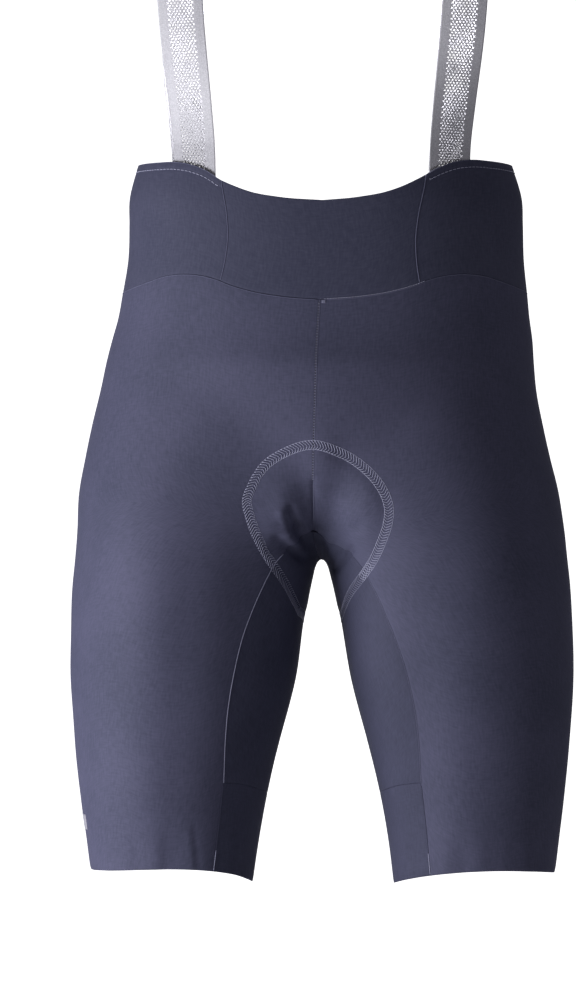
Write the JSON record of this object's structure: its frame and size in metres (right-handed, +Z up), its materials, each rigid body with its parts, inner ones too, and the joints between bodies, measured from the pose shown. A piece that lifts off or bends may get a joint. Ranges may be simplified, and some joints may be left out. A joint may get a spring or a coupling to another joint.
{
  "type": "cycling bib shorts",
  "caption": "Thigh-length stretch cycling bib shorts in their worn form, with a high shaped waistband, set-in inner leg panels, raw-cut hems and two open mesh shoulder straps.",
  "frame": {"origin": "midway between the two shoulder straps, level with the inner faces of their tops, where the wearer's shoulders carry the garment", "axes": "+X to the wearer's left, +Y to the wearer's back, +Z up; the garment hangs down from the origin"},
  "size_m": [0.3771, 0.2605, 0.9716],
  "materials": {
    "stretch_knit": "matte",
    "strap_mesh": "matte"
  },
  "bodies": {
    "root": {"waist_front": "stretch_knit", "waist_side_L": "stretch_knit", "waist_side_R": "stretch_knit", "leg_L": "stretch_knit", "leg_R": "stretch_knit", "inner_leg_L": "stretch_knit", "inner_leg_R": "stretch_knit", "cuff_inner_L": "stretch_knit", "cuff_inner_R": "stretch_knit", "strap_L": "strap_mesh", "strap_R": "strap_mesh"}
  },
  "joints": []
}
